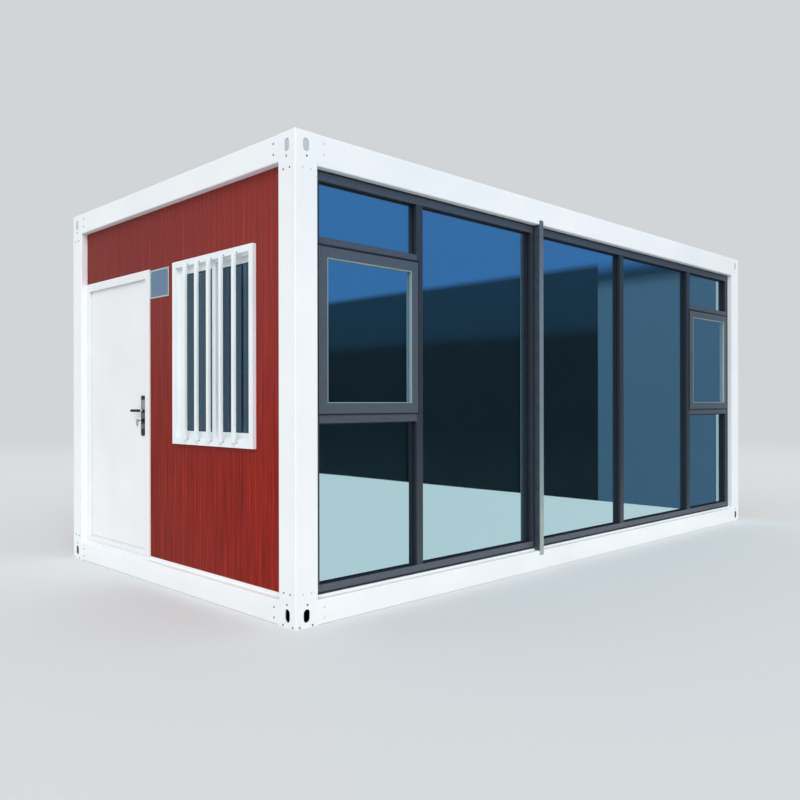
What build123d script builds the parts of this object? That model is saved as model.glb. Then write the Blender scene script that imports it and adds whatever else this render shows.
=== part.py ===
"""A flat-pack prefabricated house on a folded steel frame.

Red insulated panels close two ends and the rear, an aluminium glazed front faces -Y, and one
end wall, facing -X, has a door and a sliding window.  Millimetres, Z up, with the origin on the
ground under the middle of the house and X along its length.
"""
import os

from build123d import *

# Overall module
house_length = 5950.0
house_depth = 3000.0
house_height = 2800.0

# Folded steel frame
column_size = 160.0
base_height = 160.0
end_seat_rise = 9.0
roof_height = 160.0
side_beam_drop = 23.0
steel = 4.0
bend_radius = 6.0
base_lower_flange = 60.0
roof_top_lip = 24.0
gutter_width = 90.0
gutter_depth = 75.0
gutter_upstand = 22.0

# Corner blocks with lifting slots and an anchor hole
block_plate = 10.0
slot_width = 45.0
slot_height = 75.0
slot_from_corner = 78.0
base_slot_above_ground = 68.0
roof_slot_below_top = 78.0
blank_recess = 5.0
anchor_hole_radius = 11.0

# Floor and roof
floor_thickness = 24.0
joist_height = 100.0
joist_width = 50.0
joist_sheet = 3.0
joist_count = 9
ceiling_thickness = 10.0
purlin_height = 80.0
purlin_width = 45.0
purlin_count = 6
roof_sheet = 2.0
rib_height = 25.0
rib_base = 70.0
rib_top = 30.0
rib_pitch = 240.0
roof_edge_lap = 30.0
block_clearance = 6.0

# Walls
wall_recess = 50.0
panel_thickness = 75.0
rear_panel_count = 5
end_panel_count = 3
panel_joint = 2.0
panel_bevel = 3.0

# Door unit, set against the rear column of the door end
door_unit_width = 1066.0
over_door_height = 413.0
door_jamb_face = 45.0
door_stop_lap = 15.0
door_stop_thickness = 15.0
door_frame_proud = 10.0
door_sill_height = 31.0
door_gap = 7.0
door_stop_gap = 5.0
leaf_thickness = 45.0
leaf_edge_round = 2.0

# Lift-off hinges on the room side of the door
hinge_count = 3
hinge_height = 100.0
hinge_end_margin = 200.0
hinge_plate = 3.0
hinge_plate_width = 30.0
knuckle_radius = 7.0
hinge_pin_radius = 4.0
hinge_stand_off = 2.0
hinge_play = 0.3

# Lock plates and lever handle
lock_backset = 75.0
lock_plate_width = 45.0
lock_plate_height = 292.0
lock_plate_thickness = 8.0
lock_plate_above_base = 861.0
lever_above_base = 1044.0
cylinder_below_lever = 72.0
cylinder_radius = 9.0
cylinder_proud = 5.0
spindle_radius = 5.0
spindle_play = 1.0
lever_neck_radius = 10.0
lever_neck_length = 30.0
lever_length = 108.0
lever_tall = 20.0
lever_thick = 13.0
lever_bevel = 3.0
lever_play = 0.4

# Sliding window
beside_door_width = 360.0
front_corner_width = 293.0
under_window_height = 822.0
over_window_height = 413.0
window_proud = 25.0
window_frame_face = 42.0
window_track_step = 16.0
window_track_depth = 8.0
window_track_setback = 25.0
window_sash_setback = 30.0
window_sash_thickness = 30.0
window_sash_spacing = 3.0
window_sash_face = 40.0
window_sash_lap = 40.0
window_glass = 8.0

# Glazed front
head_rail_face = 60.0
sill_rail_face = 53.0
jamb_face = 50.0
mullion_face = 58.0
centre_stile_face = 60.0
unit_joint = 2.0
bay_line_shares = (0.158, 0.3855, 0.612, 0.8385)
lower_transom_above_base = 988.0
lower_transom_face = 64.0
upper_transom_below_beam = 388.0
upper_transom_face = 60.0
glass_setback = 37.0
glass_thickness = 20.0
groove_depth = 14.0
glass_edge_play = 2.0
vent_lap = 8.0
vent_proud = 10.0
vent_face = 62.0
vent_bevel = 4.0
vent_body_gap = 4.0
vent_body_depth = 55.0
vent_glass_setback = 22.0

# Cover strip over the joint of the two glazed units
strip_width = 45.0
strip_wall = 3.0
strip_plate = 5.0
strip_lap = 32.0

overrun = 5.0

half_length = house_length / 2
half_depth = house_depth / 2
base_ledge = base_height - floor_thickness + steel / 2 + bend_radius
wall_low = base_height
wall_high = house_height - roof_height - side_beam_drop
end_wall_low = base_height + end_seat_rise
end_wall_high = house_height - roof_height
wall_back = wall_recess + panel_thickness
clear_length = house_length - 2 * column_size
clear_depth = house_depth - 2 * column_size


def span_box(x_span, y_span, z_span):
    """A box between three pairs of bounds, given in any order."""
    spans = [sorted(span) for span in (x_span, y_span, z_span)]
    size = [high - low for low, high in spans]
    middle = [(high + low) / 2 for low, high in spans]
    return Pos(*middle) * Box(*size)


def front_box(along, inward, z_span):
    """A box on the glazed front: along runs from the door end, inward from the front face."""
    x_span = [place - half_length for place in along]
    y_span = [place - half_depth for place in inward]
    return span_box(x_span, y_span, z_span)


def end_box(across, inward, z_span):
    """A box on the door end: across runs from the rear face, inward from the end face."""
    x_span = [place - half_length for place in inward]
    y_span = [half_depth - place for place in across]
    return span_box(x_span, y_span, z_span)


def end_point(across, inward):
    """The X and Y of a place on the door end."""
    return inward - half_length, half_depth - across


def both_ways(shape, plane):
    """The shape and its mirror image."""
    return [shape, mirror(shape, about=plane)]


def four_corners(shape):
    """The shape at all four corners of the house."""
    return [copy for half in both_ways(shape, Plane.XZ) for copy in both_ways(half, Plane.YZ)]


def save(name, solids):
    """Write one named piece, made of one solid or of several that stand apart."""
    shapes = solids if isinstance(solids, list) else [solids]
    parts = [solid for shape in shapes for solid in shape.solids()]
    export_step(parts[0] if len(parts) == 1 else Compound(parts), f"parts/{name}.step")


def corner_prism(low, high, bends):
    """A post at the front corner of the door end, with round bends counted from its outermost edge."""
    post = span_box(
        (-half_length, column_size - half_length), (-half_depth, column_size - half_depth), (low, high)
    )
    uprights = post.edges().filter_by(Axis.Z).sort_by(lambda edge: edge.center().X + edge.center().Y)
    return fillet(uprights[:bends], bend_radius)


def block_slots(z_middle, depth):
    """Upright oblong cutters in the two outer faces of a corner block."""
    oblong = Rot(0, 0, 90) * SlotOverall(slot_height, slot_width)
    reach = depth + overrun
    front = Plane(
        origin=(slot_from_corner - half_length, -half_depth - overrun, z_middle),
        x_dir=(1, 0, 0),
        z_dir=(0, -1, 0),
    )
    end = Plane(
        origin=(-half_length - overrun, slot_from_corner - half_depth, z_middle),
        x_dir=(0, -1, 0),
        z_dir=(-1, 0, 0),
    )
    return extrude(front * oblong, -reach) + extrude(end * oblong, -reach)


def base_block():
    """A hollow block that takes lifting hooks through its slots and an anchor from below."""
    cavity = span_box(
        (block_plate - half_length, column_size - block_plate - half_length),
        (block_plate - half_depth, column_size - block_plate - half_depth),
        (block_plate, base_ledge - block_plate),
    )
    hole_middle = (column_size / 2 - half_length, column_size / 2 - half_depth, block_plate / 2)
    anchor = Pos(*hole_middle) * Cylinder(anchor_hole_radius, block_plate + overrun)
    slots = block_slots(base_slot_above_ground, block_plate)
    return corner_prism(0, base_ledge, 1) - cavity - slots - anchor


def roof_block():
    """A closed block whose slots are blanked a little behind the face."""
    block = corner_prism(end_wall_high, house_height, 1)
    return block - block_slots(house_height - roof_slot_below_top, blank_recess)


def column():
    """A hollow post of folded sheet, square to the room and bent round at its other edges."""
    core = span_box(
        (steel - half_length, column_size - steel - half_length),
        (steel - half_depth, column_size - steel - half_depth),
        (base_ledge - overrun, end_wall_high + overrun),
    )
    return corner_prism(base_ledge, end_wall_high, 3) - core


def folded(points):
    """The section of a folded sheet along the middle of its thickness."""
    return trace(FilletPolyline(*points, radius=bend_radius), line_width=steel)


def base_section(seat):
    """A channel with a ledge outside, a raised seat under the wall and a lip along the floor."""
    half = steel / 2
    upstand, lip = wall_recess + half, wall_back - half
    ledge_line, seat_line = base_ledge - half, seat - half
    outside = [(base_lower_flange, half), (half, half), (half, ledge_line), (upstand, ledge_line)]
    inside = [(upstand, seat_line), (lip, seat_line), (lip, base_height - floor_thickness)]
    return folded(outside + inside)


def roof_section(underside):
    """A deep channel with a rain gutter folded inside its web."""
    half = steel / 2
    low, high = underside + half, house_height - half
    gutter_floor = house_height - gutter_depth + half
    web = folded([(wall_back, low), (half, low), (half, high), (roof_top_lip, high)])
    edge = gutter_width - half
    gutter = folded(
        [(half, gutter_floor), (edge, gutter_floor), (edge, gutter_floor - half + gutter_upstand)]
    )
    return web + gutter


def side_beams(section):
    """A section run along the front and the rear, between the corner blocks."""
    plane = Plane(origin=(-clear_length / 2, -half_depth, 0), x_dir=(0, 1, 0), z_dir=(1, 0, 0))
    return both_ways(extrude(plane * section, clear_length), Plane.XZ)


def end_beams(section):
    """A section run along the two ends, between the corner blocks."""
    plane = Plane(origin=(-half_length, clear_depth / 2, 0), x_dir=(1, 0, 0), z_dir=(0, -1, 0))
    return both_ways(extrude(plane * section, clear_depth), Plane.YZ)


def corner_cutter(room):
    """Four boxes over the corner blocks, with room around them."""
    x_span = (-half_length - overrun, column_size + room - half_length)
    y_span = (-half_depth - overrun, column_size + room - half_depth)
    return four_corners(span_box(x_span, y_span, (-overrun, house_height + overrun)))


def cross_members(count, width, heights, reach):
    """Evenly spaced channels from front to rear, open to one side."""
    pitch = clear_length / (count + 1)
    inner_heights = (heights[0] + joist_sheet, heights[1] - joist_sheet)
    members = []
    for index in range(count):
        place = pitch * (index + 1) - clear_length / 2
        bar = span_box((place, place + width), (-reach, reach), heights)
        hollow = span_box((place + joist_sheet, place + width + overrun), (-reach, reach), inner_heights)
        members.append(bar - hollow)
    return members


def floor_board():
    """The floor, between the lips of the base beams."""
    reach_x, reach_y = half_length - wall_back, half_depth - wall_back
    board = span_box((-reach_x, reach_x), (-reach_y, reach_y), (base_height - floor_thickness, base_height))
    return board - corner_cutter(0)


def ceiling_board():
    """The ceiling, between the end walls and on the lower flanges of the side beams."""
    reach_x = half_length - wall_back
    reach_y = half_depth - gutter_width
    low = wall_high + steel
    board = span_box((-reach_x, reach_x), (-reach_y, reach_y), (low, low + ceiling_thickness))
    return board - corner_cutter(0)


def roof_cover():
    """A trapezoidal sheet on the purlins, lapping over the gutters."""
    low = house_height - gutter_depth + gutter_upstand
    edge = half_depth - gutter_width + roof_edge_lap
    count = int(2 * edge / rib_pitch)
    line = [(-edge, low)]
    for index in range(count):
        middle = (index + 0.5 - count / 2) * rib_pitch
        line += [(middle - rib_base / 2, low), (middle - rib_top / 2, low + rib_height)]
        line += [(middle + rib_top / 2, low + rib_height), (middle + rib_base / 2, low)]
    line.append((edge, low))
    upper = [(across, height + roof_sheet) for across, height in reversed(line)]
    reach = half_length - gutter_width + roof_edge_lap
    plane = Plane(origin=(-reach, 0, 0), x_dir=(0, 1, 0), z_dir=(1, 0, 0))
    sheet = extrude(plane * make_face(Polyline(*line, *upper, close=True)), 2 * reach)
    return sheet - corner_cutter(block_clearance)


def panel(shape):
    """A wall panel with its upright edges bevelled."""
    return chamfer(shape.edges().filter_by(Axis.Z), panel_bevel)


def rear_panels():
    """Full-height panels along the rear, with a fine joint between them."""
    pitch = clear_length / rear_panel_count
    y_span = (half_depth - wall_back, half_depth - wall_recess)
    panels = []
    for index in range(rear_panel_count):
        start = index * pitch - clear_length / 2
        x_span = (start + panel_joint / 2, start + pitch - panel_joint / 2)
        panels.append(panel(span_box(x_span, y_span, (wall_low, wall_high))))
    return panels


def far_end_panels():
    """Full-height panels along the end that has no door."""
    pitch = clear_depth / end_panel_count
    x_span = (half_length - wall_back, half_length - wall_recess)
    panels = []
    for index in range(end_panel_count):
        start = index * pitch - clear_depth / 2
        y_span = (start + panel_joint / 2, start + pitch - panel_joint / 2)
        panels.append(panel(span_box(x_span, y_span, (end_wall_low, end_wall_high))))
    return panels


# Places on the door end, across from the rear face and inward from the end face
door_start = column_size
door_end = door_start + door_unit_width
door_top = end_wall_high - over_door_height
window_from_rear = door_end + beside_door_width
window_end = column_size + clear_depth - front_corner_width
window_low = end_wall_low + under_window_height
window_high = end_wall_high - over_window_height
wall_depth = (wall_recess, wall_back)
frame_front = wall_recess - door_frame_proud
stop_back = frame_front + door_stop_thickness
leaf_front = stop_back + door_stop_gap
leaf_back = leaf_front + leaf_thickness
frame_depth = (frame_front, leaf_back)
stop_depth = (frame_front, stop_back)
sill_top = end_wall_low + door_sill_height
head_low = door_top - door_jamb_face
leaf_across = (door_start + door_jamb_face + door_gap, door_end - door_jamb_face - door_gap)
leaf_heights = (sill_top + door_gap, head_low - door_gap)
hinge_axis_inward = leaf_back + knuckle_radius + hinge_stand_off
hinge_axis_across = leaf_across[0] - door_gap / 2
lever_across = leaf_across[1] - lock_backset
lever_z = end_wall_low + lever_above_base
plate_low = end_wall_low + lock_plate_above_base


def door_end_panels():
    """The panels around the door and the window, by name."""
    full = (end_wall_low, end_wall_high)
    window_span = (window_from_rear, window_end)
    return {
        "left_wall_over_door": end_box((door_start, door_end), wall_depth, (door_top, end_wall_high)),
        "left_wall_beside_door": end_box((door_end, window_from_rear), wall_depth, full),
        "left_wall_under_window": end_box(window_span, wall_depth, (end_wall_low, window_low)),
        "left_wall_over_window": end_box(window_span, wall_depth, (window_high, end_wall_high)),
        "left_wall_front_corner": end_box((window_end, column_size + clear_depth), wall_depth, full),
    }


def door_jamb(start, direction):
    """A door jamb with a stop along its outer side."""
    inner = start + direction * door_jamb_face
    heights = (end_wall_low, head_low)
    post = end_box((start, inner), frame_depth, heights)
    return post + end_box((inner, inner + direction * door_stop_lap), stop_depth, heights)


def door_head():
    """The door head, over both jambs, with its stop between theirs."""
    margin = door_jamb_face + door_stop_lap
    beam = end_box((door_start, door_end), frame_depth, (head_low, door_top))
    stop = end_box((door_start + margin, door_end - margin), stop_depth, (head_low - door_stop_lap, head_low))
    return beam + stop


def door_sill():
    """The threshold between the jambs, behind the line of the stops."""
    across = (door_start + door_jamb_face, door_end - door_jamb_face)
    bar = end_box(across, (stop_back, leaf_back), (end_wall_low, sill_top))
    margin = door_jamb_face + door_stop_lap
    nosing = end_box((door_start + margin, door_end - margin), stop_depth, (end_wall_low, sill_top))
    return bar + nosing


def along_x(radius, inward, z_height, across=lever_across):
    """A round bar along X between two depths on the door end."""
    length = inward[1] - inward[0]
    x_middle, y_middle = end_point(across, (inward[0] + inward[1]) / 2)
    return Pos(x_middle, y_middle, z_height) * Rot(0, 90, 0) * Cylinder(radius, length)


def door_leaf():
    """The door leaf, bored for the lever's spindle."""
    leaf = end_box(leaf_across, (leaf_front, leaf_back), leaf_heights)
    leaf = fillet(leaf.edges().filter_by(Axis.Z), leaf_edge_round)
    through = (leaf_front - overrun, leaf_back + overrun)
    return leaf - along_x(spindle_radius + spindle_play, through, lever_z)


def hinge_half(side, knuckle_low, knuckle_high, plate_low_z, plate_high_z):
    """One half of a hinge, on the jamb for side -1 and on the leaf for side 1, without its pin."""
    near = hinge_axis_across + side * (knuckle_radius + hinge_stand_off)
    far = near + side * hinge_plate_width
    plate = end_box((near, far), (leaf_back, leaf_back + hinge_plate), (plate_low_z, plate_high_z))
    lug = end_box((hinge_axis_across, near), (leaf_back, hinge_axis_inward), (knuckle_low, knuckle_high))
    return plate + lug + upright(knuckle_radius, knuckle_low, knuckle_high)


def upright(radius, low, high):
    """A round bar along the hinge axis."""
    x_axis, y_axis = end_point(hinge_axis_across, hinge_axis_inward)
    return Pos(x_axis, y_axis, (low + high) / 2) * Cylinder(radius, high - low)


def hinges():
    """The jamb halves, each with its pin, and the leaf halves that lift off them."""
    low = leaf_heights[0] + hinge_end_margin
    pitch = (leaf_heights[1] - low - hinge_end_margin - hinge_height) / (hinge_count - 1)
    jamb_halves, leaf_halves = [], []
    for index in range(hinge_count):
        foot = low + index * pitch
        top = foot + hinge_height
        middle = (foot + top) / 2
        pin_top = top - hinge_plate
        jamb_half = hinge_half(-1, foot, middle - hinge_play / 2, foot, top)
        jamb_halves.append(jamb_half + upright(hinge_pin_radius, foot, pin_top))
        leaf_half = hinge_half(1, middle + hinge_play / 2, top, foot, top)
        bore = upright(hinge_pin_radius + hinge_play, foot, top + overrun)
        leaf_halves.append(leaf_half - bore)
    return jamb_halves, leaf_halves


def lock_plate(face, outward):
    """A long plate with a lock cylinder, bored for the spindle."""
    front = face + outward * lock_plate_thickness
    depth = sorted((face, front))
    half_width = lock_plate_width / 2
    heights = (plate_low, plate_low + lock_plate_height)
    plate = end_box((lever_across - half_width, lever_across + half_width), depth, heights)
    plate = fillet(plate.edges().filter_by(Axis.X), half_width / 2)
    barrel = sorted((face, front + outward * cylinder_proud))
    plate += along_x(cylinder_radius, barrel, lever_z - cylinder_below_lever)
    bore = (depth[0] - overrun, depth[1] + overrun)
    return plate - along_x(spindle_radius + spindle_play, bore, lever_z)


def lever_arm(face, outward):
    """A rounded grip on a round neck, pointing towards the hinges."""
    neck_start = face + outward * lever_play
    neck_end = neck_start + outward * lever_neck_length
    arm_end = neck_end + outward * lever_thick
    across = (lever_across + lever_tall / 2, lever_across - lever_length)
    heights = (lever_z - lever_tall / 2, lever_z + lever_tall / 2)
    arm = end_box(across, (neck_end, arm_end), heights)
    arm = fillet(arm.edges().filter_by(Axis.X), lever_tall / 2 - lever_bevel / 2)
    arm = chamfer(arm.faces().sort_by(Axis.X)[-1 if outward > 0 else 0].edges(), lever_bevel)
    return arm + along_x(lever_neck_radius, sorted((neck_start, neck_end)), lever_z)


def lever_handle():
    """Both levers on their common spindle."""
    outer_face = leaf_front - lock_plate_thickness
    inner_face = leaf_back + lock_plate_thickness
    spindle = (outer_face - lever_neck_length, inner_face + lever_neck_length)
    return lever_arm(outer_face, -1) + lever_arm(inner_face, 1) + along_x(spindle_radius, spindle, lever_z)


def ring(across, heights, face, inward):
    """A rectangular frame on the door end."""
    solid = end_box(across, inward, heights)
    hole_across = (across[0] + face, across[1] - face)
    hole_heights = (heights[0] + face, heights[1] - face)
    return solid - end_box(hole_across, (inward[0] - overrun, inward[1] + overrun), hole_heights)


window_front = wall_recess - window_proud
track_front = window_front + window_track_setback
sash_front = window_front + window_sash_setback
sash_pitch = window_sash_thickness + window_sash_spacing
sash_inset = window_frame_face + window_track_step - window_track_depth
window_middle = (window_from_rear + window_end) / 2
sash_heights = (window_low + sash_inset, window_high - sash_inset)
sash_spans = (
    (window_from_rear + sash_inset, window_middle + window_sash_lap / 2),
    (window_middle - window_sash_lap / 2, window_end - sash_inset),
)


def sash_depth(index):
    """The depths between which a sash of the window lies, the outer one first."""
    front = sash_front + index * sash_pitch
    return front, front + window_sash_thickness


def window_frame():
    """The fixed frame, stepped inside and grooved for the two sashes."""
    outline = (window_from_rear, window_end)
    heights = (window_low, window_high)
    frame = ring(outline, heights, window_frame_face, (window_front, wall_back))
    inner = (window_from_rear + window_frame_face, window_end - window_frame_face)
    inner_heights = (window_low + window_frame_face, window_high - window_frame_face)
    frame += ring(inner, inner_heights, window_track_step, (track_front, wall_back))
    track = (window_from_rear + sash_inset, window_end - sash_inset)
    for index in range(len(sash_spans)):
        frame -= end_box(track, sash_depth(index), sash_heights)
    return frame


def glass_inset():
    """How far a window pane lies inside the outline of its sash."""
    return window_sash_face - window_track_depth


def window_pane(index):
    """A pane in the middle of its sash."""
    front = sash_depth(index)[0] + (window_sash_thickness - window_glass) / 2
    across = (sash_spans[index][0] + glass_inset(), sash_spans[index][1] - glass_inset())
    heights = (sash_heights[0] + glass_inset(), sash_heights[1] - glass_inset())
    return end_box(across, (front, front + window_glass), heights)


def window_sash(index):
    """A sliding sash, grooved for its pane."""
    return ring(sash_spans[index], sash_heights, window_sash_face, sash_depth(index)) - window_pane(index)


# Places on the glazed front, along from the door end and inward from the front face
glazing_start = column_size
glazing_end = house_length - column_size
glazing_depth = (wall_recess, wall_back)
glass_front = wall_recess + glass_setback
glass_depth = (glass_front, glass_front + glass_thickness)
rail_low = wall_low + sill_rail_face
rail_high = wall_high - head_rail_face
bay_lines = [glazing_start + share * clear_length for share in bay_line_shares]
joint_line = bay_lines[1]
lower_transom_low = wall_low + lower_transom_above_base
lower_transom = (lower_transom_low, lower_transom_low + lower_transom_face)
upper_transom_top = wall_high - upper_transom_below_beam
upper_transom = (upper_transom_top - upper_transom_face, upper_transom_top)
mullion_spans = [
    (bay_lines[0] - mullion_face / 2, bay_lines[0] + mullion_face / 2),
    (joint_line - unit_joint / 2 - centre_stile_face, joint_line - unit_joint / 2),
    (joint_line + unit_joint / 2, joint_line + unit_joint / 2 + centre_stile_face),
    (bay_lines[2] - mullion_face / 2, bay_lines[2] + mullion_face / 2),
    (bay_lines[3] - mullion_face / 2, bay_lines[3] + mullion_face / 2),
]
jamb_spans = [(glazing_start, glazing_start + jamb_face), (glazing_end - jamb_face, glazing_end)]
vent_bays = [(jamb_spans[0][1], mullion_spans[0][0]), (mullion_spans[4][1], jamb_spans[1][0])]
wide_bays = [
    (mullion_spans[0][1], mullion_spans[1][0]),
    (mullion_spans[2][1], mullion_spans[3][0]),
    (mullion_spans[3][1], mullion_spans[4][0]),
]


def fixed_lights():
    """The clear openings that hold a fixed pane."""
    lights = [(bay, (rail_low, rail_high)) for bay in wide_bays]
    for bay in vent_bays:
        lights += [(bay, (rail_low, lower_transom[0])), (bay, (upper_transom[1], rail_high))]
    return lights


def grown(span, amount):
    """A span made longer at both ends."""
    return span[0] - amount, span[1] + amount


def fixed_panes():
    """Panes that reach into the grooves of the bars around them."""
    hold = groove_depth - glass_edge_play
    return [
        front_box(grown(along, hold), glass_depth, grown(heights, hold)) for along, heights in fixed_lights()
    ]


def grooved(bar):
    """A bar with the grooves of all the fixed panes that reach into it."""
    for along, heights in fixed_lights():
        bar -= front_box(grown(along, groove_depth), glass_depth, grown(heights, groove_depth))
    return bar


def vent_outline(bay):
    """The outer edge of a vent's face, which laps over the bars around it."""
    return grown(bay, vent_lap), grown((lower_transom[1], upper_transom[0]), vent_lap)


def vent_pane(bay):
    """The pane of a vent, held in a groove of its frame."""
    along, heights = vent_outline(bay)
    inset = groove_depth - glass_edge_play - vent_face
    front = wall_recess - vent_proud + vent_glass_setback
    return front_box(grown(along, inset), (front, front + glass_thickness), grown(heights, inset))


def vent_sash(bay):
    """An opening light: a face that laps the bars and a body set between them."""
    along, heights = vent_outline(bay)
    face = front_box(along, (wall_recess - vent_proud, wall_recess), heights)
    face = chamfer(face.faces().sort_by(Axis.Y)[0].edges(), vent_bevel)
    setback = -vent_lap - vent_body_gap
    body_depth = (wall_recess, wall_recess + vent_body_depth)
    body = front_box(grown(along, setback), body_depth, grown(heights, setback))
    hole_depth = (wall_recess - vent_proud - overrun, wall_recess + vent_body_depth + overrun)
    hole = front_box(grown(along, -vent_face), hole_depth, grown(heights, -vent_face))
    front = wall_recess - vent_proud + vent_glass_setback
    groove_reach = groove_depth - vent_face
    groove_span = (front, front + glass_thickness)
    groove = front_box(grown(along, groove_reach), groove_span, grown(heights, groove_reach))
    return face + body - hole - groove


def cover_strip():
    """A box cover over the joint of the glazed units, clear of the ledge, its face lapping both beams."""
    along = (joint_line - strip_width / 2, joint_line + strip_width / 2)
    heights = (base_ledge + bend_radius - steel / 2, wall_high)
    box = front_box(along, (0, wall_recess), heights)
    core_depth = (strip_wall, wall_recess - strip_wall)
    core = front_box(grown(along, -strip_wall), core_depth, grown(heights, overrun))
    plate = front_box(along, (-strip_plate, 0), grown((base_ledge, wall_high), strip_lap))
    return box - core + plate


def steel_frame():
    """Corner blocks, columns and beams."""
    names = ("front_left", "front_right", "rear_left", "rear_right")
    for name, block in zip(names, four_corners(base_block())):
        save(f"base_corner_block_{name}", block)
    save("roof_corner_blocks", four_corners(roof_block()))
    save("corner_columns", four_corners(column()))
    save("base_side_beams", side_beams(base_section(wall_low)))
    save("base_end_beams", end_beams(base_section(end_wall_low)))
    save("roof_side_beams", side_beams(roof_section(wall_high)))
    save("roof_end_beams", end_beams(roof_section(end_wall_high)))


def floor_and_roof():
    """The floor on its joists, the ceiling, and the roof sheet on its purlins."""
    joist_top = base_height - floor_thickness
    joist_heights = (joist_top - joist_height, joist_top)
    joist_reach = half_depth - steel
    save("floor_joists", cross_members(joist_count, joist_width, joist_heights, joist_reach))
    save("floor_board", floor_board())
    save("ceiling_board", ceiling_board())
    purlin_top = house_height - gutter_depth + gutter_upstand
    purlin_heights = (purlin_top - purlin_height, purlin_top)
    purlin_reach = half_depth - gutter_width
    save("roof_purlins", cross_members(purlin_count, purlin_width, purlin_heights, purlin_reach))
    save("roof_sheet", roof_cover())


def walls():
    """The panels of the rear and of both ends."""
    save("rear_wall_panels", rear_panels())
    save("right_wall_panels", far_end_panels())
    for name, shape in door_end_panels().items():
        save(name, shape)


def door():
    """The door frame, the leaf with its hinges, and the lock."""
    save("door_hinge_jamb", door_jamb(door_start, 1))
    save("door_lock_jamb", door_jamb(door_end, -1))
    save("door_head", door_head())
    save("door_sill", door_sill())
    save("door_leaf", door_leaf())
    jamb_halves, leaf_halves = hinges()
    save("hinge_jamb_halves", jamb_halves)
    save("hinge_leaf_halves", leaf_halves)
    save("lock_plates", [lock_plate(leaf_front, -1), lock_plate(leaf_back, 1)])
    save("lever_handle", lever_handle())


def window():
    """The sliding window of the door end."""
    save("window_frame", window_frame())
    save("window_outer_sash", window_sash(0))
    save("window_inner_sash", window_sash(1))
    save("window_glass", [window_pane(index) for index in range(len(sash_spans))])


def glazed_front():
    """Rails, jambs, mullions and transoms, the two vents, the panes and the cover strip."""
    full_span = (glazing_start, glazing_end)
    save("glazing_head_rail", grooved(front_box(full_span, glazing_depth, (rail_high, wall_high))))
    save("glazing_sill_rail", grooved(front_box(full_span, glazing_depth, (wall_low, rail_low))))
    heights = (rail_low, rail_high)
    save("glazing_jambs", [grooved(front_box(span, glazing_depth, heights)) for span in jamb_spans])
    save("glazing_mullions", [grooved(front_box(span, glazing_depth, heights)) for span in mullion_spans])
    bars = [(bay, bar) for bay in vent_bays for bar in (lower_transom, upper_transom)]
    save("glazing_transoms", [grooved(front_box(bay, glazing_depth, bar)) for bay, bar in bars])
    for name, bay in zip(("left", "right"), vent_bays):
        save(f"vent_sash_{name}", vent_sash(bay))
    save("fixed_glass", fixed_panes())
    save("vent_glass", [vent_pane(bay) for bay in vent_bays])
    save("joint_cover_strip", cover_strip())


os.makedirs("parts", exist_ok=True)
steel_frame()
floor_and_roof()
walls()
door()
window()
glazed_front()
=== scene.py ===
import math

import bpy
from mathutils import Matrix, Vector


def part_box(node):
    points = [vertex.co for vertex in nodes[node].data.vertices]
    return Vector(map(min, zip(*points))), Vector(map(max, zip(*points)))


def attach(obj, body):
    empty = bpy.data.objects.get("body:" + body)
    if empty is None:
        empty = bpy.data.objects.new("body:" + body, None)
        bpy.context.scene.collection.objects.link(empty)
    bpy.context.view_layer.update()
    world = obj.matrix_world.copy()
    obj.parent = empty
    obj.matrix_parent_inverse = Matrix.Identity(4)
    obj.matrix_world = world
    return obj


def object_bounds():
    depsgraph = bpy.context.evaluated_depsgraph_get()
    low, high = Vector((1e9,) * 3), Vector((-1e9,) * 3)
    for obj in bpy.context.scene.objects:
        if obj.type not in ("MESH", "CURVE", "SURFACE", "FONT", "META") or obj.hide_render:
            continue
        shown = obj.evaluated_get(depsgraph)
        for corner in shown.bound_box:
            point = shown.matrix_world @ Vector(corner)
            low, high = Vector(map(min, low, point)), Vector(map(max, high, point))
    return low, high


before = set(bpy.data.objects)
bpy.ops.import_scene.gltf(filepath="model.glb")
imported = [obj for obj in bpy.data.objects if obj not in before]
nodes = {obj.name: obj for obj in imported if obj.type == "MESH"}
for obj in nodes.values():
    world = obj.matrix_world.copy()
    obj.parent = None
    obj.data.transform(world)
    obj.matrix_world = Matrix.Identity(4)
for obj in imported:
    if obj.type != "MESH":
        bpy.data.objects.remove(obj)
cad_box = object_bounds()
house_high = cad_box[1]
mm = 0.001

# Camera, from the lines of the house in the photograph
camera_place = (-5.6807, -5.0555, 1.2664)
camera_turn = (math.radians(90 - 0.002), math.radians(0.084), math.radians(-44.381))
camera_lens = 35.896
camera_shift = (0.006275, 0.003725)

# Fine ribs pressed into the facing of the wall panels
panel_rib_pitch = 57 * mm
panel_groove = 16 * mm
panel_groove_depth = 1.2 * mm

# Heights over which the red greys, the Y over which painted light makes it paler and warmer, and how high
# dust lies
greying_heights = (0.7, 2.1)
painted_light_reach = (0.5, -1.4)
dust_height = 110 * mm

# Margins by which finishes tell a room side and a face plate from what is behind them
room_margin = 1 * mm
face_plate_margin = 0.2 * mm

# Glazing gaskets, beads and seals; the reveal liners, the vent rings and in part the unit seals are black
# sheets of painted shade
gasket_width = 9 * mm
gasket_proud = 4 * mm
shade_liner_width = 2.5 * mm
shade_liner_depth = 33 * mm
pane_hold = 12 * mm
bead_width = 5 * mm
bead_proud = 23 * mm
window_pane_hold = 8 * mm
window_gasket_width = 5 * mm
unit_rim_seal_and_shade_width = 11 * mm
unit_rim_seal_and_shade_proud = 3 * mm
# The black ring round each vent is painted shadow, risen at the top where the shadow is deepest
vent_shadow_ring_width = 8 * mm
vent_shadow_ring_rise = 6 * mm
vent_shadow_ring_proud = 6 * mm

# Window bars
bar_count = 5
bar_width = 22 * mm
bar_end_margin = 30 * mm
bar_round = 3 * mm
bar_plug_rim = 3.9 * mm
bar_plug_edge = 0.6 * mm
bar_plug_depth = 3 * mm
bar_screw_beside = 19 * mm
bar_screw_radius = 5 * mm
bar_screw_inset = 8 * mm
window_face = 42 * mm

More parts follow.
